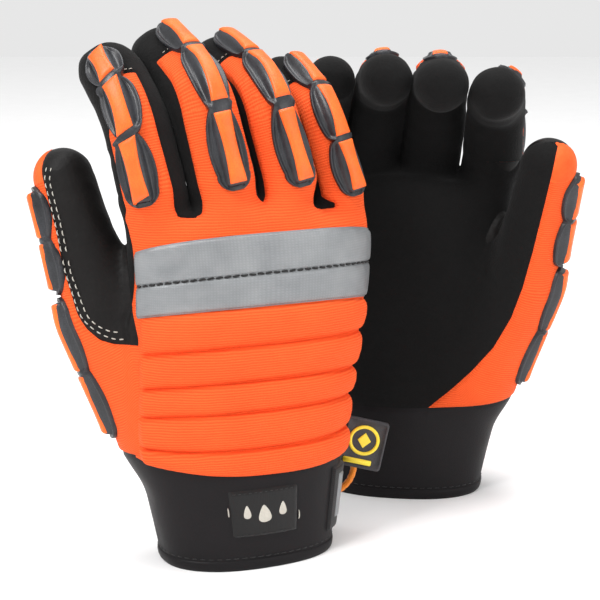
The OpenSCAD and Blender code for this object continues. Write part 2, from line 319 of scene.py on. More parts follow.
def skin_distance(p, digits):
    """Distance outside the glove's skin made of the hand and the named digits."""
    out = hand_distance(p)
    if "thumb" in digits:
        out = melt(out, LINES["thumb"].distance(p), THUMB_MELT)
    fingers = [LINES[d].distance(p) for d in digits if d != "thumb"]
    if fingers:
        out = melt(out, np.minimum.reduce(fingers), FINGER_MELT)
    return out


def nearest(p, digits):
    """Which of the digits each point is nearest to, and its place along and turn on it."""
    found = [LINES[d].locate(p) for d in digits]
    which = np.argmin([far for _, _, far in found], 0)
    s, turn = (np.choose(which, [f[k] for f in found]) for k in (0, 1))
    return which, s, turn


def settle(p, digits, times=2):
    """Moves points onto the skin; returns them with the skin's outward normals."""
    step, furthest = 0.4, 6
    ways = np.eye(3) * step
    for i in range(times + 1):
        slope = np.stack([skin_distance(p + w, digits) - skin_distance(p - w, digits)
                          for w in ways], 1) / (2 * step)
        size = np.linalg.norm(slope, axis=1, keepdims=True) + 1e-9
        if i < times:
            far = skin_distance(p, digits)[:, None]
            p = p - np.clip(far / size, -furthest, furthest) * slope / size
    return p, slope / size


def lift_off(points, height, digits):
    """A grid of points, settled on the skin and raised by height."""
    rest, normal = settle(points.reshape(-1, 3), digits)
    return (rest + normal * np.asarray(height).reshape(-1, 1)).reshape(points.shape)


def noise(p, size, seed):
    """Smooth noise from -1 to 1 with lumps of about the given size."""
    cells = 32
    table = np.random.default_rng(seed).uniform(-1, 1, (cells, cells, cells))
    q = p / size + 100.0
    cell = np.floor(q).astype(int)
    f = q - cell
    f = f * f * (3 - 2 * f)
    out = 0.0
    for corner in np.ndindex(2, 2, 2):
        weight = np.abs(1 - np.array(corner) - f).prod(1)
        out = out + weight * table[tuple(((cell + corner) % cells).T)]
    return out


# ---- Skin meshes ----

def surface_net(f, low, pitch):
    """A quad mesh of the zero surface of a field on a grid, facing outward."""
    cells = np.array(f.shape) - 1
    ids, where, quads = [], [], []
    for axis in range(3):
        first, last = [slice(None)] * 3, [slice(None)] * 3
        first[axis], last[axis] = slice(0, -1), slice(1, None)
        a, b = f[tuple(first)], f[tuple(last)]
        edge = np.argwhere((a < 0) != (b < 0))
        va, vb = a[tuple(edge.T)], b[tuple(edge.T)]
        point = edge.astype(float)
        point[:, axis] += va / (va - vb)
        ring = []
        for d1, d2 in ((0, 0), (-1, 0), (-1, -1), (0, -1)):
            cell = edge.copy()
            cell[:, (axis + 1) % 3] += d1
            cell[:, (axis + 2) % 3] += d2
            ok = ((cell >= 0) & (cell < cells)).all(1)
            flat = np.where(ok, np.ravel_multi_index(np.clip(cell, 0, cells - 1).T, cells), -1)
            ids.append(flat[ok])
            where.append(point[ok])
            ring.append(flat)
        ring = np.stack(ring, 1)
        turned = va >= 0
        ring[turned] = ring[turned][:, ::-1]
        quads.append(ring[(ring >= 0).all(1)])
    ids, where = np.concatenate(ids), np.concatenate(where)
    used, back = np.unique(ids, return_inverse=True)
    count = np.bincount(back)
    verts = np.stack([np.bincount(back, weights=where[:, k]) / count for k in range(3)], 1)
    quads = np.searchsorted(used, np.concatenate(quads))
    tris = np.concatenate([quads[:, [0, 1, 2]], quads[:, [0, 2, 3]]])
    return low + pitch * verts, tris


def skin_mesh(low, high, digits):
    """The zero surface of the skin inside a box whose corners lie on the shared grid."""
    low = np.floor(np.array(low) / GRID) * GRID
    counts = np.ceil((np.array(high) - low) / GRID).astype(int) + 1
    axes = [low[k] + GRID * np.arange(counts[k]) for k in range(3)]
    p = np.stack(np.meshgrid(*axes, indexing="ij"), -1).reshape(-1, 3)
    f = np.concatenate([skin_distance(p[i:i + FIELD_CHUNK], digits)
                        for i in range(0, len(p), FIELD_CHUNK)])
    verts, tris = surface_net(f.reshape(counts) + 1e-7, low, GRID)
    return settle(verts, digits)[0], tris


def cut(verts, tris, d, only):
    """Splits some of the triangles along d = 0. Returns the mesh, which old triangle each
    new one is from, and whether it lies on the positive side."""
    side = d[tris] >= 0
    many = side.sum(1)
    mixed = (many > 0) & (many < 3) & only
    rest = np.flatnonzero(~mixed)
    m = np.flatnonzero(mixed)
    alone = many[m] == 1
    lone = (side[m] == alone[:, None]).argmax(1)
    at = np.arange(len(m))
    a, b, c = (tris[m][at, (lone + k) % 3] for k in range(3))
    pairs = np.concatenate([np.sort(np.stack([a, b], 1), 1), np.sort(np.stack([a, c], 1), 1)])
    edges, back = np.unique(pairs, axis=0, return_inverse=True)
    back = back.ravel()
    i, j = edges.T
    t = (d[i] / (d[i] - d[j]))[:, None]
    new = verts[i] + t * (verts[j] - verts[i])
    ab, ac = len(verts) + back[:len(m)], len(verts) + back[len(m):]
    faces = np.concatenate([tris[rest], np.stack([a, ab, ac], 1),
                            np.stack([ab, b, c], 1), np.stack([ab, c, ac], 1)])
    source = np.concatenate([rest, m, m, m])
    positive = np.concatenate([many[rest] >= 2, alone, ~alone, ~alone])
    return np.vstack([verts, new]), faces, source, positive


def normals_of(verts, tris):
    """Area-weighted vertex normals."""
    face = np.cross(verts[tris[:, 1]] - verts[tris[:, 0]], verts[tris[:, 2]] - verts[tris[:, 0]])
    out = np.zeros_like(verts)
    for k, c in np.ndindex(3, 3):
        out[:, c] += np.bincount(tris[:, k], weights=face[:, c], minlength=len(verts))
    return out / (np.linalg.norm(out, axis=1, keepdims=True) + 1e-12)


# ---- Where the materials meet on the skin ----

CUFF_EDGE = np.array([  # turn, height of the cuff's top seam
    [0, 45], [90, 45], [170, 49], [190, 51.6], [268, 42], [340, 44], [360, 45],
])
CUFF_SMOOTH = softened(np.vstack([CUFF_EDGE[:-1] - [360, 0], CUFF_EDGE,
                                  CUFF_EDGE[1:] + [360, 0]]), 0.0, 361.0, 10)
PALM_EDGE = np.array([  # height, X where the black palm meets the orange thumb side
    [40, -12], [46, -18], [55, -28], [65, -38], [77, -48], [92, -56], [107, -61], [125, -65.5],
    [146, -70], [163, -73.5], [190, -78],
])
PATCH_EDGE = np.array([  # height, turn on the thumb where its leather patch begins
    [95, 262], [98.5, 248], [100, 230], [104, 219], [111, 210], [127, 197], [149, 202],
    [171, 207], [190, 210],
])
PATCH_LOW, PATCH_LAST_TURN, PATCH_OVERLAP = 98.5, 350, 4  # the patch's other three edges
CAP_START = 0.8  # share of a finger's length where its black cap begins
BACK_EDGE = -1.5  # Y where the orange back meets the black palm side
FORKS = (-41, 40, 148.5, 14.0)  # X from, X to and height from where black forks cut in, how deep
FINGER_RULE = (150.5, 6.0)  # height from and over which the fingers' own edges take over
NO_EDGE = 20.0  # stands for an edge that isn't near
BACK_LIMIT = -30  # X that the orange of the thumb side doesn't pass on the back
BALL_LIMIT = -35  # X beyond which the ball of the thumb can cover the back
THUMB_LIMIT = -60  # X beyond which high points belong to the thumb
THUMB_ROWS_SHIFT = 62  # lines up the cloth's rows on the thumb with those on the hand


def cuff_field(p):
    """Positive above the cuff's top seam."""
    return p[:, 2] - rows(CUFF_SMOOTH, hand_turn(p), 1)


def past_patch_edge(p, turn):
    """How far round the thumb points are past the edge of its leather patch."""
    return arc(turn - rows(PATCH_EDGE, p[:, 2], 1), THUMB_ROUND)


def patch_field(p):
    """Positive inside the thumb's leather patch."""
    _, turn, far = LINES["thumb"].locate(p)
    return np.minimum.reduce([
        past_patch_edge(p, turn), p[:, 2] - PATCH_LOW,
        arc(PATCH_LAST_TURN - turn, THUMB_ROUND), hand_distance(p) - far + PATCH_OVERLAP,
    ])


def hand_orange(p):
    """Positive where the hand and the thumb are orange knit."""
    _, turn, far = LINES["thumb"].locate(p)
    palm_side = turn < 180
    outside = np.where(palm_side, rows(PALM_EDGE, p[:, 2], 1) - p[:, 0], NO_EDGE)
    leather = -np.minimum(past_patch_edge(p, turn), p[:, 2] - PATCH_LOW)
    reach = np.where(palm_side, 2 * NO_EDGE, BACK_LIMIT - p[:, 0])
    thumb_side = np.minimum.reduce([outside, leather, reach])
    on_hand = far + 2 - hand_distance(p)
    first, last, height, depth = FORKS
    between = ramp(p[:, 0] - first, 5.0) * ramp(last - p[:, 0], 5.0)
    back = np.minimum(BACK_EDGE - depth * between * ramp(p[:, 2] - height, 5.0) - p[:, 1],
                      np.where(p[:, 0] < BALL_LIMIT, on_hand, NO_EDGE))
    return np.maximum(thumb_side, back)


def finger_orange(p, digits):
    """Positive where the fingers are orange knit."""
    which, s, turn = nearest(p, digits)
    first, last = (np.choose(which, [KNIT_TURN[d][k] for d in digits]) for k in (0, 1))
    cap = np.choose(which, [CAP_START * LINES[d].reach for d in digits])
    return np.minimum.reduce([arc(turn - first, FINGER_ROUND), arc(last - turn, FINGER_ROUND),
                              cap - s])


def orange_field(p, digit=None):
    """Positive where the skin is orange knit."""
    share = ramp(p[:, 2] - FINGER_RULE[0], FINGER_RULE[1]) * (p[:, 0] > THUMB_LIMIT)
    fingers = finger_orange(p, FINGERS if digit is None else [digit])
    return hand_orange(p) * (1 - share) + fingers * share


def weave_of(p, digit):
    """Across and along, in millimetres, for the direction of ribs and grain."""
    along = p[:, 2]
    if digit is None:
        across = np.radians(hand_turn(p)) * HAND_ROUND
        s, _, far = LINES["thumb"].locate(p)
        thumb = ramp(hand_distance(p) - far, 6.0)
        return across, along * (1 - thumb) + (s + THUMB_ROWS_SHIFT) * thumb
    s, turn, _ = LINES[digit].locate(p)
    share = ramp(along - CUT[digit], 12.0)
    start = LINES[digit].data[0, 2]
    return np.radians(turn) * FINGER_ROUND, along * (1 - share) + (s + start) * share


# ---- Making Blender objects ----

def to_world(p, side):
    """Points of a glove's own frame in the shared frame, in metres."""
    turn, origin = PLACES[side]
    c, s = math.cos(math.radians(turn)), math.sin(math.radians(turn))
    return np.column_stack([c * p[:, 0] - s * p[:, 1] + origin[0],
                            s * p[:, 0] + c * p[:, 1] + origin[1], p[:, 2]]) * MM


def add(name, data):
    """A new object of the scene."""
    obj = bpy.data.objects.new(name, data)
    scene.collection.objects.link(obj)
    return obj


def make(name, verts, faces, material, side=None, weave=None, rest=None, normals=None):
    """A mesh object from points in a glove's own frame, or in the row frame without side."""
    placed = to_world(verts, side) if side else verts * MM
    mesh = bpy.data.meshes.new(name)
    mesh.from_pydata(placed.tolist(), [], [list(map(int, f)) for f in faces])
    mesh.update()
    rest = verts if rest is None else rest
    layer = mesh.attributes.new("rest", "FLOAT_VECTOR", "POINT")
    layer.data.foreach_set("vector", np.asarray(rest, np.float32).ravel())
    if weave is not None:
        layer = mesh.attributes.new("weave", "FLOAT_VECTOR", "POINT")
        data = np.column_stack([weave[0], weave[1], np.zeros(len(verts))])
        layer.data.foreach_set("vector", data.astype(np.float32).ravel())
    mesh.polygons.foreach_set("use_smooth", [True] * len(mesh.polygons))
    if normals is not None:
        turned = to_world(normals, side) - to_world(np.zeros((1, 3)), side)
        mesh.normals_split_custom_set_from_vertices(turned.tolist())
    mesh.materials.append(material)
    return add(name, mesh)


def grid_faces(m, n, closed=False):
    """Quads of an m by n grid of points; closed joins the last column to the first."""
    k = n if closed else n - 1
    i, j = np.meshgrid(np.arange(m - 1), np.arange(k), indexing="ij")
    here, after = i * n + j, i * n + (j + 1) % n
    return np.stack([here, after, after + n, here + n], -1).reshape(-1, 4)


def laid(points, lift, digits, across, along):
    """A grid laid on the skin and raised by lift, as (points, faces, weave)."""
    raised = lift_off(points, lift, digits).reshape(-1, 3)
    return raised, grid_faces(*points.shape[:2])[:, ::-1], (across.ravel(), along.ravel())


def join(parts):
    """Several (points, faces, weave) as one."""
    verts, faces, weave, at = [], [], [], 0
    for v, f, w in parts:
        verts.append(v)
        faces.extend([[i + at for i in face] for face in f])
        weave.append(w)
        at += len(v)
    return np.vstack(verts), faces, (np.concatenate([w[0] for w in weave]),
                                     np.concatenate([w[1] for w in weave]))


# ---- Materials ----

class Look:
    """A node material under construction. A socket value is a number, a colour or a link."""

    def __init__(self, name):
        self.material = bpy.data.materials.new(name)
        self.material.use_nodes = True
        self.tree = self.material.node_tree
        self.shader = next(n for n in self.tree.nodes if n.type == "BSDF_PRINCIPLED")

    def node(self, kind, out=0, settings=None, **sockets):
        made = self.tree.nodes.new(kind)
        for key, value in (settings or {}).items():
            setattr(made, key, value)
        for key, value in sockets.items():
            self.plug(made.inputs[int(key[1:])] if key[1:].isdigit() else made.inputs[key],
                      value)
        return made.outputs[out]

    def plug(self, socket, value):
        if isinstance(value, bpy.types.NodeSocket):
            self.tree.links.new(value, socket)
        else:
            socket.default_value = value

    def attribute(self, name):
        return self.node("ShaderNodeAttribute", 1, {"attribute_name": name})

    def math(self, operation, a, b=0.5, clamp=False):
        return self.node("ShaderNodeMath", 0, {"operation": operation, "use_clamp": clamp},
                         _0=a, _1=b)

    def parts(self, vector):
        made = self.tree.nodes.new("ShaderNodeSeparateXYZ")
        self.tree.links.new(vector, made.inputs[0])
        return made.outputs

    def wave(self, value, period):
        """A smooth wave from 0 to 1 along a value in millimetres."""
        turned = self.math("MULTIPLY", value, 2 * math.pi / period)
        return self.math("MULTIPLY_ADD", self.math("SINE", turned), 0.5)

    def lumps(self, vector, scale, detail=4.0, rough=0.55):
        return self.node("ShaderNodeTexNoise", 0, None, Vector=vector, Scale=scale,
                         Detail=detail, Roughness=rough)

    def between(self, factor, a, b):
        return self.node("ShaderNodeMix", 2, {"data_type": "RGBA"}, _0=factor, _6=a, _7=b)

    def level(self, value, low, high, to_low=0.0, to_high=1.0):
        return self.node("ShaderNodeMapRange", 0, None, _0=value, _1=low, _2=high,
                         _3=to_low, _4=to_high)

    def bump(self, height, distance, strength=1.0, under=None):
        sockets = {"Height": height, "Distance": distance, "Strength": strength}
        if under is not None:
            sockets["Normal"] = under
        return self.node("ShaderNodeBump", 0, None, **sockets)

    def finish(self, **sockets):
        for key, value in sockets.items():
            self.plug(self.shader.inputs[key.replace("_", " ")], value)
        return self.material


def rgb(r, g, b):
    """A linear colour from the usual 0 to 255 values."""
    def one(v):
        v /= 255
        return v / 12.92 if v <= 0.04045 else ((v + 0.055) / 1.055) ** 2.4
    return (one(r), one(g), one(b), 1.0)


def knit_look(name, light, dark, period=1.1):
    """Rib-knit cloth: rows along the weave with small loops in each."""
    k = Look(name)
    rest, weave = k.attribute("rest"), k.attribute("weave")
    across, along = k.parts(weave)[:2]
    wander = k.math("MULTIPLY", k.lumps(rest, 0.12), 0.9)
    row = k.wave(k.math("ADD", along, wander), period)
    loop = k.wave(across, 0.9)
    height = k.math("ADD", row, k.math("MULTIPLY", loop, 0.3))
    shade = k.math("MULTIPLY_ADD", k.lumps(rest, 0.05, 3.0), 0.7)
    tint = k.math("ADD", k.math("MULTIPLY", row, 0.42), k.math("MULTIPLY", shade, 0.38), True)
    colour = k.between(tint, dark, light)
    rough = k.level(row, 0.0, 1.0, 0.86, 0.7)
    fibres = k.bump(k.lumps(rest, 2.2), 0.0002, 0.5)
    return k.finish(Base_Color=colour, Roughness=rough, Sheen_Weight=0.12, Sheen_Roughness=0.4,
                    Specular_IOR_Level=0.2, Sheen_Tint=rgb(255, 150, 90),
                    Normal=k.bump(height, 0.0003, 0.55, fibres))


def suede_look(name, light, dark, rough_low, rough_high, grain, depth, sheen, shine=0.15):
    """Leather or brushed suede: fine grain with slow patches of wear."""
    k = Look(name)
    rest = k.attribute("rest")
    fine, slow = k.lumps(rest, grain, 5.0, 0.6), k.lumps(rest, 0.045, 3.0)
    tint = k.math("ADD", k.math("MULTIPLY", fine, 0.5), k.math("MULTIPLY", slow, 0.6), True)
    colour = k.between(k.level(tint, 0.3, 0.8), dark, light)
    rough = k.level(slow, 0.3, 0.7, rough_low, rough_high)
    return k.finish(Base_Color=colour, Roughness=rough, Sheen_Weight=sheen, Sheen_Roughness=0.5,
                    Specular_IOR_Level=shine, Normal=k.bump(fine, depth, 0.8))


def rubber_look(name, light, dark, rough=0.42):
    """Moulded rubber: faint mould texture, scuffed paler in random patches."""
    k = Look(name)
    rest = k.attribute("rest")
    fine, slow = k.lumps(rest, 1.6, 3.0), k.lumps(rest, 0.09, 4.0)
    worn = k.level(k.math("MULTIPLY", fine, slow), 0.15, 0.42)
    colour = k.between(worn, dark, light)
    return k.finish(Base_Color=colour, Roughness=k.level(slow, 0.3, 0.7, rough - 0.07, rough + 0.1),
                    Specular_IOR_Level=0.5, Normal=k.bump(fine, 0.00012, 0.6))


def tape_look():
    """Retro-reflective tape: grey film of tiny beads with a faint square grid."""
    k = Look("reflective_tape")
    rest, weave = k.attribute("rest"), k.attribute("weave")
    across, along = k.parts(weave)[:2]
    grid = k.math("MULTIPLY", k.wave(across, 1.1), k.wave(along, 1.1))
    slow = k.lumps(rest, 0.05, 4.0)
    tint = k.math("ADD", k.math("MULTIPLY", grid, 0.12), k.math("MULTIPLY", slow, 0.85), True)
    colour = k.between(k.level(tint, 0.1, 0.8), rgb(104, 107, 110), rgb(150, 152, 153))
    return k.finish(Base_Color=colour, Roughness=k.level(slow, 0.3, 0.7, 0.36, 0.5), Metallic=0.3,
                    Normal=k.bump(k.math("ADD", grid, k.lumps(rest, 3.0)), 0.00012, 0.5))


def cloth_look(name, light, dark, period, rough=0.7, depth=0.0002):
    """Plain woven cloth: threads over and under each other."""
    k = Look(name)
    rest, weave = k.attribute("rest"), k.attribute("weave")
    across, along = k.parts(weave)[:2]
    threads = k.math("MULTIPLY", k.wave(across, period), k.wave(along, period))
    slow = k.lumps(rest, 0.15, 3.0)
    tint = k.math("ADD", k.math("MULTIPLY", threads, 0.6), k.math("MULTIPLY", slow, 0.4), True)
    return k.finish(Base_Color=k.between(tint, dark, light), Roughness=rough, Sheen_Weight=0.15,
                    Specular_IOR_Level=0.25, Normal=k.bump(threads, depth, 0.7))


ORANGE_KNIT = knit_look("orange_rib_knit", rgb(250, 104, 46), rgb(216, 60, 19))
SUEDE = suede_look("black_micro_suede", rgb(20, 19, 19), rgb(5, 5, 5), 0.75, 0.92, 0.9,
                   0.00035, 0.035)
LEATHER = suede_look("black_leather", rgb(22, 19, 18), rgb(7, 6, 6), 0.5, 0.68, 0.55,
                     0.0003, 0.02, 0.18)
NEOPRENE = suede_look("black_neoprene", rgb(26, 23, 25), rgb(12, 11, 12), 0.45, 0.6, 1.4,
                      0.0001, 0.02, 0.16)
RUBBER = rubber_look("guard_rubber", rgb(50, 51, 56), rgb(26, 27, 30), 0.34)
PAD = rubber_look("orange_guard_pad", rgb(250, 112, 26), rgb(240, 90, 12), 0.45)
TAPE = tape_look()
LINING = cloth_look("fleece_lining", rgb(84, 84, 86), rgb(48, 48, 50), 1.0, 0.9)
LABEL = cloth_look("woven_label", rgb(20, 19, 20), rgb(8, 8, 8), 0.5, 0.5, 0.0001)
THREAD = cloth_look("pale_thread", rgb(226, 222, 210), rgb(170, 166, 156), 0.6, 0.6)
# dark thread for real stitches; it also draws the painted shade line in the crease between the tape
# bands
DARK_THREAD_AND_CREASE_SHADE = cloth_look("dark_thread_and_crease_shade", rgb(44, 42, 42), rgb(24, 23, 23), 0.6, 0.6)
WEBBING = cloth_look("webbing", rgb(46, 45, 46), rgb(22, 21, 22), 0.9, 0.75)
YELLOW = rubber_look("yellow_print", rgb(250, 228, 70), rgb(238, 208, 46), 0.5)
TAG = rubber_look("tag_rubber", rgb(60, 58, 62), rgb(34, 33, 36), 0.5)
FLOOR = suede_look("studio_floor", rgb(250, 250, 250), rgb(246, 246, 246), 0.85, 0.9, 0.02,
                   0.00005, 0.0)


# ---- Camera, light and cord ----

def aim(obj, target):
    """Turns a camera or a light to face a point."""
    away = obj.location - Vector(target)
    obj.rotation_euler = away.to_track_quat("Z", "Y").to_euler()


LIGHTS = [  # name, place, size, watts
    ("key", (-0.9, -1.0, 1.5), 0.7, 24), ("fill", (1.3, -0.9, 0.7), 1.0, 6),
    ("top", (0.1, 0.1, 1.7), 1.0, 18),
]
WORLD_STRENGTH, FLOOR_HALF = 0.8, 3000.0


def stage_scene():
    """The camera, the studio light and the floor."""
    data = bpy.data.cameras.new("camera")
    camera = add("camera", data)
    target = Vector(CAMERA_TARGET) * MM
    tilt = math.radians(CAMERA_ELEVATION)
    camera.location = target + Vector((0, -math.cos(tilt), math.sin(tilt))) * CAMERA_DISTANCE * MM
    aim(camera, target)
    data.lens, data.sensor_width = CAMERA_LENS, 36
    data.clip_start, data.clip_end = 0.05, 30
    scene.camera = camera
    scene.view_settings.view_transform = "Standard"
    for name, place, size, power in LIGHTS:
        light = bpy.data.lights.new(name, "AREA")
        light.size, light.energy = size, power
        obj = add(name, light)
        obj.location = place
        aim(obj, (0, 0, 0.1))
    world = bpy.data.worlds.new("studio")
    scene.world = world
    world.use_nodes = True
    background = world.node_tree.nodes["Background"]
    background.inputs[0].default_value = (1, 1, 1, 1)
    background.inputs[1].default_value = WORLD_STRENGTH
    corners = np.array([[-1, -1, 0], [1, -1, 0], [1, 1, 0], [-1, 1, 0]]) * FLOOR_HALF
    make("floor", corners, [[0, 1, 2, 3]], FLOOR)


stage_scene()

CORD_ROUTE = np.array([  # from the cuff seam out, down and back into the cuff
    [37.5, 22, 40], [39, 22.2, 39.8], [40.8, 22.6, 39.1], [42.6, 23, 37.9], [44.5, 23, 36],
    [45.8, 23, 33.5], [46.3, 23, 31], [46.2, 23, 28.5], [45.5, 23, 26], [44.3, 23, 23.5],
    [42.5, 23, 21.3], [40.3, 22.5, 19.5], [38, 22, 18], [35.6, 22, 17.2], [33.6, 21.8, 16.8],
])
CORD_DIAMETER = 3.0
CORD_RINGS, CORD_SIDES = 90, 16


def build_cord():
    """The orange cord as a tube with three strands twisted into it."""
    route = CORD_ROUTE + [*PLACES["front"][1], 0]
    s = lengths(route)
    fine = np.linspace(0, s[-1], CORD_RINGS)
    path = sample(route, s, fine)
    along = unit(np.gradient(path, axis=0))
    side = unit(np.cross(along, [0, 1.0, 0]))
    up = np.cross(side, along)
    turn = np.linspace(0, 2 * np.pi, CORD_SIDES, endpoint=False)
    braid = 1 + 0.05 * np.cos(3 * turn[None] + fine[:, None] * 2.4)
    ring = around(turn[None], side[:, None], up[:, None])
    verts = path[:, None] + ring * (CORD_DIAMETER / 2 * 0.97) * braid[..., None]
    across = np.broadcast_to(turn * CORD_DIAMETER / 2, braid.shape)
    along_mm = np.broadcast_to(fine[:, None], braid.shape)
    faces = grid_faces(len(fine), len(turn), closed=True)
    look = cloth_look("orange_cord", rgb(255, 164, 60), rgb(238, 122, 22), 0.8, 0.65, 0.0003)
    obj = make("tag_cord_braid", verts.reshape(-1, 3), faces, look,
               weave=(across.ravel(), along_mm.ravel()))
    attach(obj, "front_hand")
    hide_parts("tag_cord")


build_cord()


# ---- The skins ----

KNIT_THICK = 0.55  # how far the knit stands off the black cloth
SEAM_DEPTH, SEAM_WIDTH = 0.55, 0.9
FLANK_SPREAD = 32  # degrees
FLANK_FROM = 147  # height where the fingers' flanks begin to bulge


def flank(p, digits):
    """How far the black sides of the fingers bulge towards each other."""
    which, s, turn = nearest(p, digits)
    out = np.zeros(len(p))
    for i, d in enumerate(digits):
        share = np.clip(s / LINES[d].reach, 0, 1)
        for middle, profile in zip((0, 180), LINES[d].flanks):
            away = (turn - middle + 180) % 360 - 180
            out += (which == i) * interp(share, profile) * np.exp(-(away / FLANK_SPREAD) ** 2)
    return out * ramp(p[:, 2] - FLANK_FROM, 9.0)


def relief(p, digit):
    """How far the cloth stands off the smooth skin at each point."""
    orange = orange_field(p, digit)
    seam = np.abs(orange)
    knit, folds = ramp(orange, 1.6), 1.0
    if digit is None:
        cuff = cuff_field(p)
        seam = np.where(cuff > -3, np.minimum(seam, np.abs(cuff)), np.abs(cuff))
        seam = np.where(cuff > 0, np.minimum(seam, np.abs(patch_field(p))), seam)
        knit = knit * ramp(cuff + 0.5, 1.5)
        folds = ramp(cuff, 8.0)
    groove = -SEAM_DEPTH * np.exp(-(seam / SEAM_WIDTH) ** 2)
    wall = np.zeros(len(p))
    high = p[:, 2] > FLANK_FROM
    wall[high] = flank(p[high], FINGERS if digit is None else [digit])
    soft = noise(p, 26.0, 3) * 0.55 + noise(p, 11.0, 5) * 0.22
    black = ramp(-orange, 3.0) * folds
    creases = noise(p * [1, 1, 1.7], 6.5, 8)
    return (KNIT_THICK * knit + groove + wall + soft * (0.35 + 0.75 * black)
            + 0.22 * creases * black)


def split_skin(verts, tris, tests, digit):
    """Cuts a skin along fields, in turn. Each test names what is on its positive side
    within one of the parts so far; what is named drop is left out."""
    labels = np.full(len(tris), "palm", dtype=object)
    for name, field, within in tests:
        only = labels == within
        verts, tris, source, positive = cut(verts, tris, field(verts), only)
        labels, only = labels[source], only[source]
        labels[only & positive] = name
    keep = labels != "drop"
    used, back = np.unique(tris[keep], return_inverse=True)
    verts, tris, labels = verts[used], back.reshape(-1, 3), labels[keep]
    lifted = verts + normals_of(verts, tris) * relief(verts, digit)[:, None]
    return verts, lifted, normals_of(lifted, tris), tris, labels


def region(skin, label, digit):
    """The part of a skin with one label, ready for make()."""
    rest, lifted, normals, tris, labels = skin
    faces = tris[labels == label]
    used, back = np.unique(faces, return_inverse=True)
    return {"verts": lifted[used], "faces": back.reshape(-1, 3), "rest": rest[used],
            "normals": normals[used], "weave": weave_of(rest[used], digit)}


def finger_top(p):
    """Height above the cut of whichever finger is nearest."""
    return p[:, 2] - np.choose(nearest(p, FINGERS)[0], [CUT[d] for d in FINGERS])


def thumb_part(p):
    """Positive on the thumb above its cut."""
    others = np.minimum(hand_distance(p), LINES["index"].distance(p))
    return np.minimum(p[:, 2] - THUMB_CUT, others - LINES["thumb"].locate(p)[2])


HAND_BOX = ((-92, -38, -4), (64, 62, 192))  # holds the hand and the thumb


def hand_skin():
    """The skin of the hand and the thumb, up to where the fingers begin."""
    verts, tris = skin_mesh(*HAND_BOX, ["thumb", *FINGERS])
    return split_skin(verts, tris, [
        ("drop", lambda p: -p[:, 2], "palm"),
        ("thumb", thumb_part, "palm"),
        ("drop", finger_top, "palm"),
        ("cuff", lambda p: -cuff_field(p), "palm"),
        ("patch", patch_field, "palm"),
        ("knit", orange_field, "palm"),
        ("thumb_patch", patch_field, "thumb"),
        ("thumb_knit", orange_field, "thumb"),
    ], None)


def finger_skin(digit):
    """The skin of one finger above its cut."""
    line, room = LINES[digit], 17
    low = line.data[:, :3].min(0) - room
    high = line.data[:, :3].max(0) + room
    low[2] = CUT[digit] - 6
    verts, tris = skin_mesh(low, high, [digit])
    return split_skin(verts, tris, [
        ("drop", lambda p: CUT[digit] - p[:, 2], "palm"),
        ("knit", lambda p: orange_field(p, digit), "palm"),
    ], digit)


# ---- Padded ribs and reflective strips across the back ----

RIB_FROM, RIB_TO, STRIP_TO = 186, 346, 352  # turns
BAND_ROWS, RIB_COLUMNS, STRIP_COLUMNS = 17, 110, 130
CREASES = [  # height at the thumb side, in the middle and at the little-finger side
    (51.2, 42.2, 44.4), (56.5, 54, 55.8), (68, 70.5, 69.4), (79, 83.5, 81), (93.5, 98.5, 97),
    (109.5, 114.5, 110.5),
]
STRIP_EDGES = [(109.2, 114.6, 110.2), (122.6, 128.4, 125.8), (137, 145, 139.5)]


def arc_height(heights, f):
    """A smooth curve through three heights, at shares f across the hand."""
    a, b, c = heights
    return a * (1 - f) * (1 - 2 * f) + 4 * b * f * (1 - f) + c * f * (2 * f - 1)


def row_shares(count):
    """Shares from 0 to 1, close together near both ends."""
    v = (1 - np.cos(np.linspace(0, np.pi, count))) / 2
    return np.unique(np.r_[v, 0.024, 0.064, 0.936, 0.976].round(4))


def across_back(edges, stop, columns, profile):
    """Bands between edge curves on the hand's back, as a grid raised by a profile."""
    f = np.linspace(0, 1, columns)
    turn = RIB_FROM + (stop - RIB_FROM) * f
    z, lift = [], []
    for low, high in zip(edges[:-1], edges[1:]):
        for v in row_shares(BAND_ROWS):
            z.append(arc_height(low, f) * (1 - v) + arc_height(high, f) * v)
            lift.append(profile(v, f))
    z = np.array([z[0] - 0.12, *z, z[-1] + 0.12])
    lift = np.array([lift[0] - 1.6, *lift, lift[-1] - 1.6])
    across = np.broadcast_to(np.radians(turn) * HAND_ROUND, z.shape)
    return laid(hand_at(z, np.broadcast_to(turn, z.shape)), lift, ["thumb"], across, z)


def rib_profile(v, f):
    """A soft pad between two stitched creases, thinner towards its ends."""
    ends = ramp(f, 0.08) * ramp(1 - f, 0.08)
    edge = 12.5 * np.minimum(v, 1 - v)  # roughly in millimetres
    crown = interp(edge, [(0, 0.0), (0.3, 0.03), (0.8, 0.42), (1.5, 0.68), (3, 0.88), (6.3, 1)])
    crown = crown * (1 + 0.22 * (v - 0.5))
    pucker = 1 + 0.1 * np.sin(f * 150 + 5 * v) * (2 * v - 1) ** 4
    shallow = ramp(f - 0.015, 0.07) * ramp(1 - f - 0.015, 0.07)
    return -0.2 + (0.75 + 3.3 * crown * pucker * shallow) * ends


def strip_profile(v, f):
    """A reflective band: a flat film with puckered edges and a faint fold."""
    ends = ramp(f, 0.03) * ramp(1 - f, 0.03)
    fold = 0.7 * np.exp(-((v - 0.52) / 0.045) ** 2) * ramp(f - 0.05, 0.1) * ramp(0.9 - f, 0.1)
    pucker = 0.22 * np.sin(f * 95 + 3 * v) * np.abs(2 * v - 1) ** 3
    edge = 14.0 * np.minimum(v, 1 - v)
    crown = interp(edge, [(0, 0.0), (0.45, 0.02), (0.9, 0.6), (1.8, 0.9), (3, 1.0), (7, 1.08)])
    return -0.3 + (1.3 + 1.1 * crown - 0.4 * fold + pucker * crown) * ends


# ---- Guards along the fingers and the thumb ----

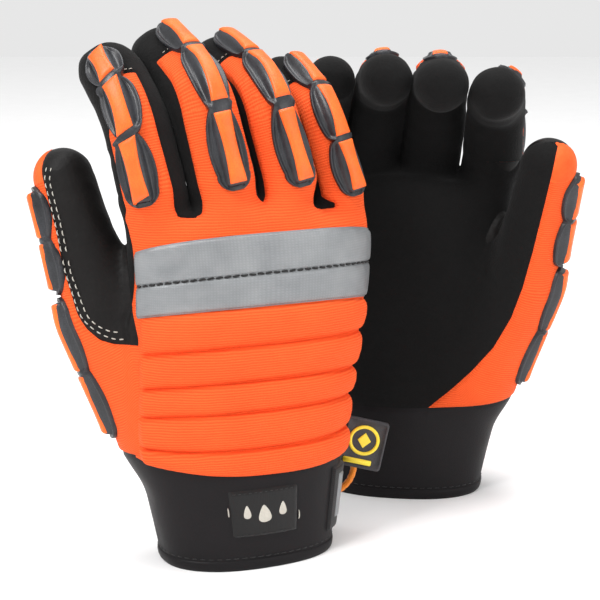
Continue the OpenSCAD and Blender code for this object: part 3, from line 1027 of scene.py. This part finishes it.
GUARD_HALF, GUARD_NECK, GUARD_BLUNT = 8.0, 0.5, 6.5  # half width, share at a neck, round end
GUARD_START = -6.0  # along the finger's line
GUARD_ENDS = (0.9, 0.8)  # share of the half width at the first and the last round end
INDEX_SLANT = 0.35
THUMB_GUARDS = {  # turn on the thumb, heights where its leaves meet
    "thumb": (168, (119, 143, 168)), "side": (172, (64, 92, 118.5)),
}
BAR_HALF, BAR_HEIGHT = 1.0, 4.5  # the bars between leaves
PAD_HALF, PAD_FLARE = 2.55, 0.6  # half width at a pad's middle, more at its ends
PAD_INSET, PAD_FIRST, PAD_LAST = 1.0, 3.3, 2.6  # how far pads end from bars and guard ends
PRESSED_FROM = 0.35  # share of the reach from which a stretched guard is pressed flat
RIM_PROFILE = [(0, -0.5), (0.2, 1.5), (0.5, 2.3), (0.8, 2.45), (1.15, 2.2), (1.7, 1.25),
               (2.6, 0.95), (9, 1.1)]  # distance from the edge, height
RIDGE_PROFILE = [(0, 4.3), (2.7, 4.2), (3.2, 3.6), (3.9, 2.2), (4.8, 1.2), (6.5, 0.8)]
PAD_PROFILE = [(0, 2.6), (0.2, 4.4), (0.6, 4.95), (1.2, 5.2), (5, 5.3)]
LEAF_SHARES = np.array([0, .03, .065, .1, .15, .22, .3, .38, .46, .55, .68, .84])
ACROSS = np.r_[-1 + LEAF_SHARES, 0, (1 - LEAF_SHARES)[::-1]]  # a leaf's columns
PAD_COLUMNS = np.array([-1, -.93, -.8, -.6, -.3, 0, .3, .6, .8, .93, 1])
PAD_ROWS = np.r_[0, .02, .05, np.linspace(0.1, 0.9, 11), .95, .98, 1]


def half_width(s, ends):
    """A guard's half width: leaf-shaped segments, rounded off at both ends."""
    ends = np.asarray(ends, float)
    k = np.clip(np.searchsorted(ends, s, side="right") - 1, 0, len(ends) - 2)
    u = (s - ends[k]) / (ends[k + 1] - ends[k])
    leaf = GUARD_NECK + (1 - GUARD_NECK) * np.abs(np.sin(np.pi * np.clip(u, 0, 1))) ** 0.6
    near = np.clip(np.minimum(s - ends[0], ends[-1] - s) / GUARD_BLUNT, 0, 1)
    leaf = np.where(s < ends[0] + GUARD_BLUNT, np.maximum(leaf, GUARD_ENDS[0]), leaf)
    leaf = np.where(s > ends[-1] - GUARD_BLUNT, np.maximum(leaf, GUARD_ENDS[1]), leaf)
    return GUARD_HALF * leaf * np.sqrt(1 - (1 - near) ** 2) + 0.02


def guard_parts(line, turn, ends, digits, slant=0.0, pressed=0.0):
    """A guard's rubber leaf and its orange pads, laid on the skin. Pressed is the share of
    its height that a guard stretched over a strongly bent finger loses."""
    def lay(at, w, lift):
        radius = np.interp(np.clip(at, 0, line.reach), line.s, line.radius)
        points = line.at(at, turn + np.degrees(w / radius))
        lift = lift * (1 - pressed * ramp(at - PRESSED_FROM * line.reach, 8.0))
        return laid(points, lift, digits, w, at)

    s = np.unique(np.r_[np.arange(ends[0], ends[-1], 0.8), ends[0] + 0.15, ends[0] + 0.5,
                        ends[-1] - 0.5, ends[-1] - 0.15, ends[-1]])
    half = half_width(s, ends)[:, None]
    w = half * ACROSS
    at = np.broadcast_to(s[:, None], w.shape)
    edge = half - np.abs(w)
    end = np.minimum(at - ends[0], ends[-1] - at)
    lift = interp(np.minimum(edge, end), RIM_PROFILE)
    ridge = interp(np.abs(w), RIDGE_PROFILE) * ramp(end - 1.3, 2.0)
    lift = np.maximum(lift, np.where(edge > 0.9, ridge, -1))
    for joint in ends[1:-1]:
        bar = np.exp(-((at - joint - slant * w) / BAR_HALF) ** 4) * ramp(edge, 0.6)
        lift = lift * (1 - bar) + np.maximum(lift, BAR_HEIGHT) * bar
    pads = []
    for i, (low, high) in enumerate(zip(ends[:-1], ends[1:])):
        low = low + (PAD_FIRST if i == 0 else PAD_INSET)
        high = high - (PAD_LAST if i == len(ends) - 2 else PAD_INSET)
        wide = (PAD_HALF + PAD_FLARE * (2 * PAD_ROWS - 1) ** 2)[:, None]
        across = wide * PAD_COLUMNS
        along = low + (high - low) * PAD_ROWS[:, None] + slant * across
        edge = np.minimum(wide - np.abs(across),
                          (high - low) * np.minimum(PAD_ROWS, 1 - PAD_ROWS)[:, None])
        pads.append(lay(along, across, interp(edge, PAD_PROFILE)))
    return lay(at, w, lift), join(pads)


def thumb_s(z):
    """How far along its line the thumb reaches a height."""
    return np.interp(z, LINES["thumb"].data[:, 2], LINES["thumb"].s)


def all_guards(side):
    """The guards of one glove: one on each finger and two along the thumb's outer edge."""
    guards = {}
    past, pressed = GUARD_TIP[side]
    for digit in FINGERS:
        line = LINES[digit]
        first, second = GUARD_JOINTS[digit]
        ends = [GUARD_START, first * line.reach, second * line.reach,
                line.reach + past * line.radius[-1]]
        guards[digit] = guard_parts(line, GUARD_TURN[digit], ends, [digit],
                                    INDEX_SLANT if digit == "index" else 0.0, pressed)
    for name, (turn, heights) in THUMB_GUARDS.items():
        guards[name] = guard_parts(LINES["thumb"], turn, thumb_s(heights), ["thumb"])
    return guards


# ---- Stitches, and the painted shade line between the tape bands ----

STITCH_SHARES = np.array([0, 0.12, 0.35, 0.65, 0.88, 1])  # rings along one stitch
STITCH_SIZES = np.array([0.35, 0.85, 1, 1, 0.85, 0.35])
STITCH_HEIGHTS = np.array([-0.6, 0.5, 1, 1, 0.5, -0.6])
PATCH_ROWS = (1.6, 4.6)  # how far the two stitch lines are inside the patch's edge
PATCH_CORNER = 12  # height over which they turn at its lower corner
PATCH_STITCH_TOP, PATCH_STITCH_TURN = 172, 272  # where they end on the thumb and on the hand


def stitch_row(path, normal, length=2.3, gap=1.1, thick=0.28, lift=0.35):
    """Short raised threads along a path on the skin."""
    s, parts = lengths(path), []
    ring = np.linspace(0, 2 * np.pi, 6, endpoint=False)
    for at in np.arange(0.5, s[-1] - length, length + gap):
        place = at + length * STITCH_SHARES
        c, n = sample(path, s, place), unit(sample(normal, s, place))
        b = np.cross(unit(c[-1] - c[0]), n)
        c = c + n * (lift * STITCH_HEIGHTS)[:, None]
        size = (thick * STITCH_SIZES)[:, None, None]
        v = c[:, None] + size * around(ring[None], b[:, None], n[:, None])
        faces = grid_faces(6, 6, closed=True).tolist()
        faces += [list(range(6))[::-1], list(range(30, 36))]
        w = np.tile(ring, 6)
        parts.append((v.reshape(-1, 3), faces, (w, np.repeat(place, 6))))
    return join(parts)


def tape_crease_shade():
    """A dark thread line along the crease between the two reflective bands: painted shade standing
    in for the crease.
    """
    f = np.linspace(0.015, 0.985, 160)
    turn = RIB_FROM + (STRIP_TO - RIB_FROM) * f
    points, normal = settle(hand_at(arc_height(STRIP_EDGES[1], f), turn), ["thumb"])
    points[:, 2] += 0.18 * np.sin(f * 240)
    return stitch_row(points + normal * 1.0, normal, 3.4, 0.25, 0.42, 0.25)


def patch_path(inset, low, high):
    """A line inside the thumb patch's edge, from near the tip down and round to the hand."""
    z = np.linspace(high, PATCH_LOW + PATCH_CORNER, 50)
    turn = rows(PATCH_EDGE, z, 1) + np.degrees(inset / THUMB_ROUND)
    corner = np.linspace(0, 1, 26)[1:]
    z = np.r_[z, PATCH_LOW + inset + (PATCH_CORNER - inset) * (1 - corner) ** 2.0]
    turn = np.r_[turn, turn[-1] + (PATCH_STITCH_TURN - turn[-1]) * corner ** 1.5]
    points = LINES["thumb"].at(thumb_s(z), turn)
    points[:, 2] = z
    points, normal = settle(points, ["thumb"])
    gap = hand_distance(points) - LINES["thumb"].locate(points)[2]
    keep = (z > low) & (z <= high) & (gap > -3.5)
    return points[keep], normal[keep]


def patch_stitches(low, high):
    """The two stitch lines of the thumb's patch between two heights."""
    return join([stitch_row(*patch_path(inset, low, high)) for inset in PATCH_ROWS])


def cap_stitches(digit):
    """The seam round a finger's back where its black cap begins."""
    line = LINES[digit]
    first, last = KNIT_TURN[digit]
    turn = np.linspace(first + 6, last - 6, 24)
    points, normal = settle(line.at(CAP_START * line.reach + 1.3, turn), [digit])
    return stitch_row(points, normal, 1.5, 0.9, 0.2, 0.25)


# ---- Cuff hem, lining, label and pull loop ----

TURNS = np.linspace(0, 360, 144, endpoint=False)
LABEL_PITCH = 0.72  # millimetres to a degree across the label
HEM_STITCH_HEIGHT = 5.6
HEM_PROFILE = [(0.0, 4.6), (0.55, 4.2), (0.75, 3.2), (0.7, 1.6), (0.4, 0.45), (-0.3, 0.05),
               (-2.4, 0.05), (-3.1, 0.6), (-3.3, 2.2), (-3.3, 6.5)]  # out from the skin, height
LINING_PROFILE = [(-3.4, 3.0), (-3.5, 20), (-3.5, 45), (-3.6, 64), (-4, 90), (-5, 120),
                  (-8, 140), (-14, 150)]


def ring_sheet(profile):
    """A sheet swept round the hand from (offset, height) pairs."""
    offset = np.array([p[0] for p in profile])[:, None]
    z = np.array([p[1] for p in profile])[:, None]
    points = hand_at(z, TURNS[None])
    outward = hand_at(z, TURNS[None], grow=1.0) - points
    points = points + offset[..., None] * outward
    weave = (np.broadcast_to(np.radians(TURNS) * 38, points.shape[:2]).ravel(),
             np.broadcast_to(z + offset, points.shape[:2]).ravel())
    return points.reshape(-1, 3), grid_faces(len(profile), len(TURNS), closed=True), weave


HEM, LINING_SHEET = ring_sheet(HEM_PROFILE), ring_sheet(LINING_PROFILE)
HEM_STITCHES = stitch_row(*settle(hand_at(HEM_STITCH_HEIGHT, np.linspace(0, 359, 240)), []),
                          2.4, 1.2, 0.22, 0.12)


def back_patch(turns, heights, lift, columns=24, rows_up=20):
    """A small rectangle of cloth on the hand's back with a rounded edge."""
    t = np.linspace(*turns, columns)
    z = np.linspace(*heights, rows_up)
    zz, tt = np.meshgrid(z, t, indexing="ij")
    u = np.minimum(zz - heights[0], heights[1] - zz)
    v = np.minimum(tt - turns[0], turns[1] - tt) * LABEL_PITCH
    height = interp(np.minimum(u, v), [(0, -0.3), (0.35, lift * 0.8), (0.9, lift), (30, lift)])
    return laid(hand_at(zz, tt), height, ["thumb"], tt * LABEL_PITCH, zz)


def blob(centre_turn, centre_z, outline, lift):
    """A flat mark on the label: an outline of (x, z) offsets in millimetres."""
    points = np.array([
        hand_at(centre_z + size * outline[:, 1], centre_turn + size * outline[:, 0] / LABEL_PITCH)
        for size in (1.0, 0.9, 0.5, 0.02)])
    height = np.repeat([lift - 0.2, lift, lift, lift], len(outline))
    flat = lift_off(points, height, ["thumb"]).reshape(-1, 3)
    return flat, grid_faces(4, len(outline), closed=True), (flat[:, 0], flat[:, 2])


def droplet(size):
    """The outline of a drop with its point up."""
    a = np.linspace(0, 2 * np.pi, 24, endpoint=False)
    pinch = (1 - np.sin(a)) / 2
    return np.column_stack([size * np.cos(a) * (0.35 + 0.65 * pinch) * 0.8,
                            size * np.sin(a) * (1 + 0.35 * (np.sin(a) > 0))])


LABEL_TURNS, LABEL_HEIGHTS = (250.5, 286.5), (15, 36)
DROPLETS = [(260, 26, 2.6), (268.5, 24.5, 3.4), (277, 26, 2.6)]  # turn, height, size
CORNER_PLACES = [(249.5, 24), (287.6, 19)]  # turn, height of the long stitches beside the label


def label_stitches():
    """A fine stitch line along the label's upper and lower edges."""
    lines = []
    for z in (LABEL_HEIGHTS[0] + 1.2, LABEL_HEIGHTS[1] - 1.2):
        turn = np.linspace(LABEL_TURNS[0] + 1.6, LABEL_TURNS[1] - 1.6, 30)
        points, normal = settle(hand_at(z, turn), [])
        lines.append(stitch_row(points + normal * 0.9, normal, 1.4, 1.0, 0.16, 0.16))
    return join(lines)


def corner_stitches():
    """One long upright stitch on each side of the label."""
    return join([stitch_row(*settle(hand_at(np.linspace(z, z + 6, 8), turn), []), 4.4, 9.0,
                            0.3, 0.5) for turn, z in CORNER_PLACES])


LABEL_PATCH = back_patch(LABEL_TURNS, LABEL_HEIGHTS, 0.95)
LABEL_MARKS = join([blob(turn, z, droplet(size), 1.1) for turn, z, size in DROPLETS])
LABEL_STITCHES, CORNER_STITCHES = label_stitches(), corner_stitches()
LOOP_PATCH = back_patch((317, 341), (9, 39), 1.6)
LOOP_STRIPE = back_patch((324, 334.5), (14, 36), 2.15, 12, 16)


# ---- Both gloves ----

def shape_glove(side):
    """The shapes that differ between the two gloves."""
    LINES.update(lines_of(side))
    return {
        "hand": hand_skin(),
        "fingers": {digit: finger_skin(digit) for digit in FINGERS},
        "ribs": across_back(CREASES, RIB_TO, RIB_COLUMNS, rib_profile),
        "strips": across_back(STRIP_EDGES, STRIP_TO, STRIP_COLUMNS, strip_profile),
        # painted shade: the dark line in the crease between the two tape bands
        "seam": tape_crease_shade(),
        "guards": all_guards(side),
        "thumb_rows": patch_stitches(THUMB_CUT, PATCH_STITCH_TOP),
        "web_rows": patch_stitches(PATCH_LOW, THUMB_CUT),
        "caps": {digit: cap_stitches(digit) for digit in FINGERS},
    }


def put(name, data, material, side, body, slot, nodes=(), bend=None):
    """Makes a piece and lets it ride its body, or, given a bend, bakes its placing in and leaves it
    riding nothing; hides the nodes it replaces. The slot is not used.
    """
    if isinstance(data, dict):
        obj = make(name, data["verts"], data["faces"], material, side, data["weave"],
                   data["rest"], data["normals"])
    else:
        obj = make(name, data[0], data[1], material, side, data[2])
    if bend:
        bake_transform(obj)
    else:
        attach(obj, body)
    if nodes:
        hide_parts(*nodes)
    return obj


def bend_line(digit):
    """Where the cloth starts to follow a digit and where it follows it fully."""
    x, y, _ = LINES[digit].data[0, :3]
    low = THUMB_CUT if digit == "thumb" else CUT[digit]
    return (x, y, low), (x, y, low + BEND_ZONE)


def build_glove(side):
    """Every piece of one glove; the hand's pieces ride its body, the digits' pieces ride none."""
    hand = f"{side}_hand"
    shapes = shape_glove(side)
    skin = shapes["hand"]

    def on_hand(name, data, material, slot, *nodes):
        return put(f"{side}_{name}", data, material, side, hand, slot,
                   [f"{side}_{n}" for n in nodes])

    def on_digit(name, data, material, slot, digit, *nodes):
        return put(f"{side}_{name}", data, material, side, f"{side}_{digit}", slot,
                   [f"{side}_{n}" for n in nodes], bend_line(digit))

    on_hand("cuff_skin", region(skin, "cuff", None), NEOPRENE, "neoprene", "cuff")
    on_hand("cuff_hem", HEM, NEOPRENE, "neoprene")
    on_hand("cuff_hem_stitches", HEM_STITCHES, DARK_THREAD_AND_CREASE_SHADE, "neoprene")
    on_hand("palm_suede", region(skin, "palm", None), SUEDE, "black_suede", "palm_panel")
    on_hand("back_knit", region(skin, "knit", None), ORANGE_KNIT, "orange_knit",
            "back_panel", "thumb_base")
    on_hand("web_leather", region(skin, "patch", None), LEATHER, "black_leather")
    on_hand("web_stitches", shapes["web_rows"], THREAD, "black_leather")
    on_hand("inner_lining", LINING_SHEET, LINING, "lining", "lining")
    ribs = on_hand("padded_ribs", shapes["ribs"], ORANGE_KNIT, "orange_knit", "rib_pads")
    on_hand("tape_strips", shapes["strips"], TAPE, "reflective", "reflective_strips")
    # painted shade: a dark line standing in for the crease between the two tape bands
    on_hand("tape_crease_shade", shapes["seam"], DARK_THREAD_AND_CREASE_SHADE, "reflective")
    leaf, pads = shapes["guards"]["side"]
    on_hand("side_guard_leaf", leaf, RUBBER, "guard_rubber", "side_guard")
    on_hand("side_guard_pads", pads, PAD, "orange_pad")

    on_digit("thumb_suede", region(skin, "thumb", None), SUEDE, "black_suede", "thumb",
             "thumb_shell")
    on_digit("thumb_knit", region(skin, "thumb_knit", None), ORANGE_KNIT, "orange_knit",
             "thumb", "thumb_back")
    on_digit("thumb_leather", region(skin, "thumb_patch", None), LEATHER, "black_leather",
             "thumb", "thumb_patch")
    on_digit("thumb_stitches", shapes["thumb_rows"], THREAD, "black_leather", "thumb")
    leaf, pads = shapes["guards"]["thumb"]
    on_digit("thumb_guard_leaf", leaf, RUBBER, "guard_rubber", "thumb", "thumb_guard")
    on_digit("thumb_guard_pads", pads, PAD, "orange_pad", "thumb")

    for digit in FINGERS:
        skin = shapes["fingers"][digit]
        on_digit(f"{digit}_suede", region(skin, "palm", digit), SUEDE, "black_suede", digit,
                 f"{digit}_shell")
        on_digit(f"{digit}_knit", region(skin, "knit", digit), ORANGE_KNIT, "orange_knit",
                 digit, f"{digit}_back")
        leaf, pads = shapes["guards"][digit]
        on_digit(f"{digit}_guard_leaf", leaf, RUBBER, "guard_rubber", digit, f"{digit}_guard")
        on_digit(f"{digit}_guard_pads", pads, PAD, "orange_pad", digit, f"{digit}_pads")
        on_digit(f"{digit}_cap_stitches", shapes["caps"][digit], THREAD, "black_suede", digit)

    if side == "front":
        on_hand("label_patch", LABEL_PATCH, LABEL, "label", "cuff_label")
        on_hand("label_marks", LABEL_MARKS, THREAD, "label")
        on_hand("label_stitches", LABEL_STITCHES, DARK_THREAD_AND_CREASE_SHADE, "label")
        on_hand("label_corner_stitches", CORNER_STITCHES, THREAD, "label")
        on_hand("loop_webbing", LOOP_PATCH, WEBBING, "webbing", "pull_loop")
        on_hand("loop_stripe", LOOP_STRIPE, TAPE, "reflective")


for side in PLACES:
    build_glove(side)


# ---- The rubber tag beside the front glove ----

TAG_SIZE, TAG_THICK, TAG_TILT = (20.0, 23.0), 1.6, 12
TAG_SEAM = np.array([*PLACES["front"][1], 0]) + [40, 16.5, 45]
TAG_CLEAR = 1.5  # between the sewn edge and the plate


def tag_points(x, z, y):
    """Tag coordinates (from its sewn edge, up, out towards the front) in the row frame."""
    a = math.radians(TAG_TILT)
    across, up = np.array([math.cos(a), 0, -math.sin(a)]), np.array([math.sin(a), 0, math.cos(a)])
    return (TAG_SEAM + np.asarray(x)[..., None] * across + np.asarray(z)[..., None] * up
            + np.asarray(y)[..., None] * np.array([0, -1.0, 0]))


def sheet_on_tag(outline, lifts, insets):
    """A flat closed shape on the tag: an outline of (x, z), stepped in and up."""
    outline = np.array(outline, float)
    middle = outline.mean(0)
    rings = []
    for inset, lift in zip(insets, lifts):
        away = outline - middle
        size = np.linalg.norm(away, axis=1, keepdims=True)
        ring = middle + away * np.clip(1 - inset / size, 0.01, None)
        rings.append(tag_points(ring[:, 0], ring[:, 1], np.full(len(ring), lift)))
    v = np.array(rings)
    return v.reshape(-1, 3), grid_faces(len(v), v.shape[1], closed=True)[:, ::-1]


def rounded_box(width, height, corner, x0, z0):
    """The outline of a rectangle with round corners."""
    points = []
    for cx, cz, start in ((1, 1, 0), (-1, 1, 90), (-1, -1, 180), (1, -1, 270)):
        for a in np.radians(np.linspace(start, start + 90, 7)):
            points.append((x0 + cx * (width / 2 - corner) + corner * math.cos(a),
                           z0 + cz * (height / 2 - corner) + corner * math.sin(a)))
    return points


def circle(radius, x0, z0):
    a = np.linspace(0, 2 * np.pi, 48, endpoint=False)
    return np.column_stack([x0 + radius * np.cos(a), z0 + radius * np.sin(a)])


def build_tag():
    """The rubber plate with a plain ring, diamond and bar raised on it."""
    width, height = TAG_SIZE
    half = TAG_THICK / 2
    low, top = half - 0.6, half + 0.15
    x, z = width / 2 + 0.6, 1.6  # middle of the ring
    plate = sheet_on_tag(
        rounded_box(width - 1.2, height, 1.6, width / 2 + TAG_CLEAR - 0.6, 0),
        [-half, -half, -half * 0.6, half * 0.6, half, half, half - 0.45, half - 0.45, half - 0.45],
        [30, 0.4, 0, 0, 0.4, 1.3, 1.7, 6, 30])
    ring = sheet_on_tag(circle(7.0, x, z), [low, top, top + 0.1, top, low],
                        [0, 0.1, 0.8, 1.45, 1.6])
    mark = sheet_on_tag([(x, z + 3.6), (x - 3.1, z), (x, z - 3.6), (x + 3.1, z)],
                        [low, half + 0.1, top, top], [0, 0.1, 0.5, 30])
    bar = sheet_on_tag(rounded_box(13, 2.4, 0.6, width / 2 - 0.6, -8.4),
                       [low, half + 0.1, top], [0, 0.1, 30])
    for name, (verts, faces), look in (("tag_plate", plate, TAG), ("tag_ring", ring, YELLOW),
                                       ("tag_mark", mark, YELLOW), ("tag_bar", bar, YELLOW)):
        obj = make(name, verts, faces, look, weave=(verts[:, 0], verts[:, 2]))
        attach(obj, "side_tag")
        if name == "tag_plate":
            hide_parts("side_tag")


build_tag()
